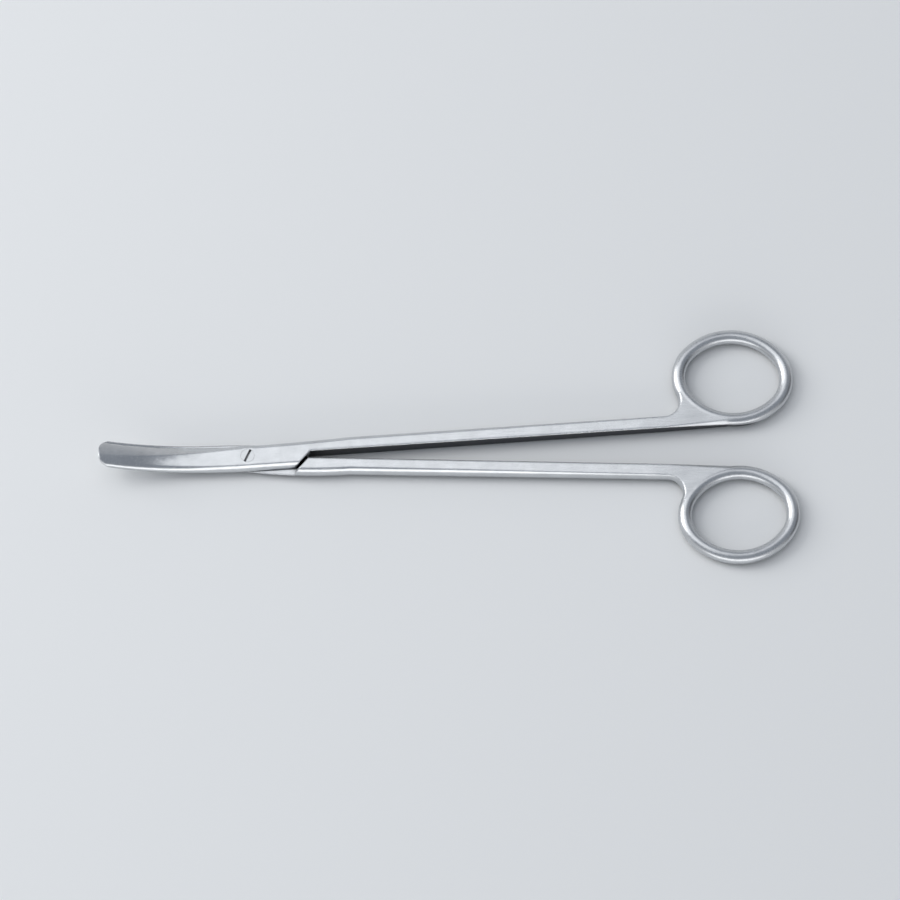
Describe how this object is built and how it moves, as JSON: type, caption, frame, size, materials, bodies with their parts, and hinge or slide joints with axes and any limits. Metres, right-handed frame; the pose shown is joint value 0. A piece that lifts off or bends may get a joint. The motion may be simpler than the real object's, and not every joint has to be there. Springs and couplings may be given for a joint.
{
  "type": "curved dissecting scissors",
  "caption": "Long slim surgical scissors with short blunt blades curved upwards, a flush slotted pivot screw, straight shanks and oval finger rings.",
  "frame": {"origin": "on the pivot axis, in the plane of the joint's underside, where the screw's end is flush", "axes": "+X along the bisector of the shanks towards the finger rings, +Z along the pivot axis towards the slotted face, +Y to the upper half's ring"},
  "size_m": [0.1785, 0.0642, 0.01],
  "materials": {
    "satin_steel": "satin polished stainless steel",
    "screw_steel": "ground flush with the joint, slot left dark"
  },
  "bodies": {
    "lower": {"lower_half": "satin_steel", "pivot_screw": "screw_steel"},
    "upper": {"upper_half": "satin_steel"}
  },
  "joints": [
    {"name": "pivot", "type": "hinge", "parent": "lower", "child": "upper", "pos_m": [0, 0, 0.0022], "axis": [0, 0, 1], "range_deg": [-3, 60]}
  ]
}
